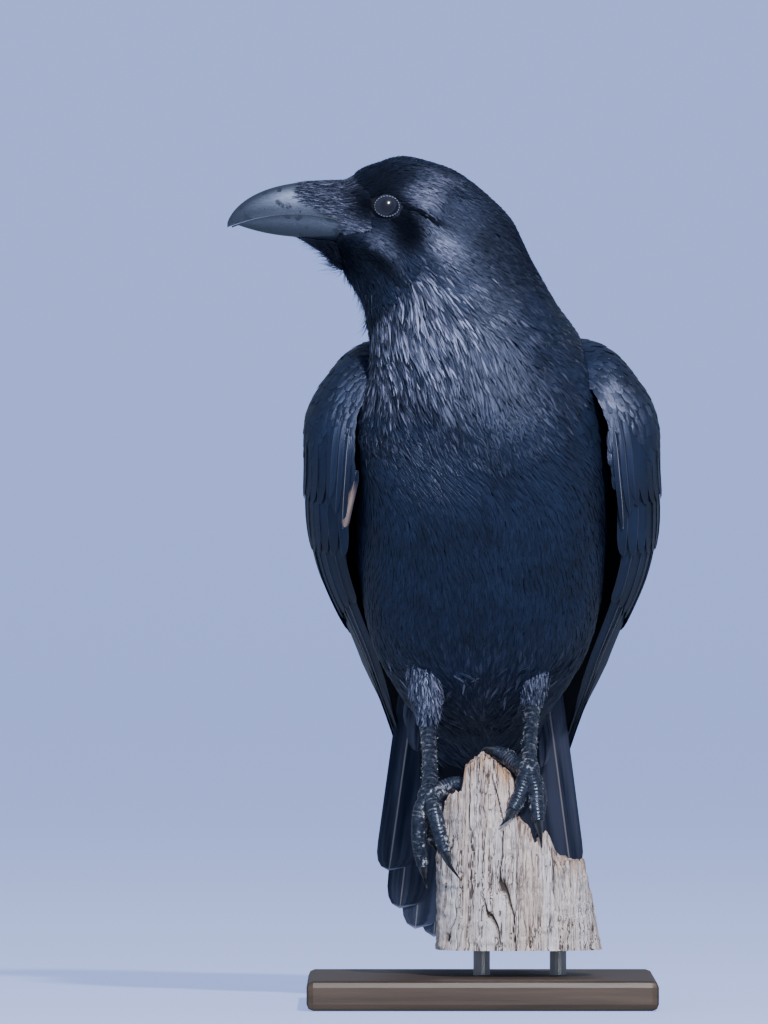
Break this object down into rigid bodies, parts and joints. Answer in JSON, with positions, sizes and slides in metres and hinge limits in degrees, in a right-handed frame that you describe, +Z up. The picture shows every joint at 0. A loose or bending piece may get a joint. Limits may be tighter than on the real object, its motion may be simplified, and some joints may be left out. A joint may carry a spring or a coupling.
{
  "type": "raven",
  "caption": "Life-size raven with folded wings and head turned to its right, gripping the broken top of a dead snag on a plain display stand.",
  "frame": {"origin": "middle of the stand base's underside, on the floor", "axes": "+Z up; the bird's breast faces -Y, its right side is at -X, and its turned bill points along -X"},
  "size_m": [0.2607, 0.326, 0.5098],
  "materials": {
    "plumage": "glossy blue-black feathers",
    "bill_horn": "worn black horn",
    "eye": "wet, polished",
    "leg_scales": "scaly, dull",
    "claw_horn": "polished horn",
    "dead_wood": "weathered, split along the grain",
    "stand_wood": "dark satin",
    "stand_metal": "satin"
  },
  "bodies": {
    "root": {"bill_lower": "bill_horn", "bill_upper": "bill_horn", "bristles": "plumage", "chin_tuft": "plumage", "claw_left_hind": "claw_horn", "claw_left_inner": "claw_horn", "claw_left_middle": "claw_horn", "claw_left_outer": "claw_horn", "claw_right_hind": "claw_horn", "claw_right_inner": "claw_horn", "claw_right_middle": "claw_horn", "claw_right_outer": "claw_horn", "eye_left": "eye", "eye_right": "eye", "foot_left": "leg_scales", "foot_right": "leg_scales", "head": "plumage", "neck": "plumage", "perch": "dead_wood", "stand_base": "stand_wood", "stand_rod_1": "stand_metal", "stand_rod_2": "stand_metal", "tail": "plumage", "tarsus_left": "leg_scales", "tarsus_right": "leg_scales", "thigh_left": "plumage", "thigh_right": "plumage", "toe_left_hind": "leg_scales", "toe_left_inner": "leg_scales", "toe_left_middle": "leg_scales", "toe_left_outer": "leg_scales", "toe_right_hind": "leg_scales", "toe_right_inner": "leg_scales", "toe_right_middle": "leg_scales", "toe_right_outer": "leg_scales", "trunk": "plumage", "wing_left_primaries": "plumage", "wing_left_secondaries": "plumage", "wing_left_shoulder": "plumage", "wing_right_primaries": "plumage", "wing_right_secondaries": "plumage", "wing_right_shoulder": "plumage"}
  },
  "joints": []
}
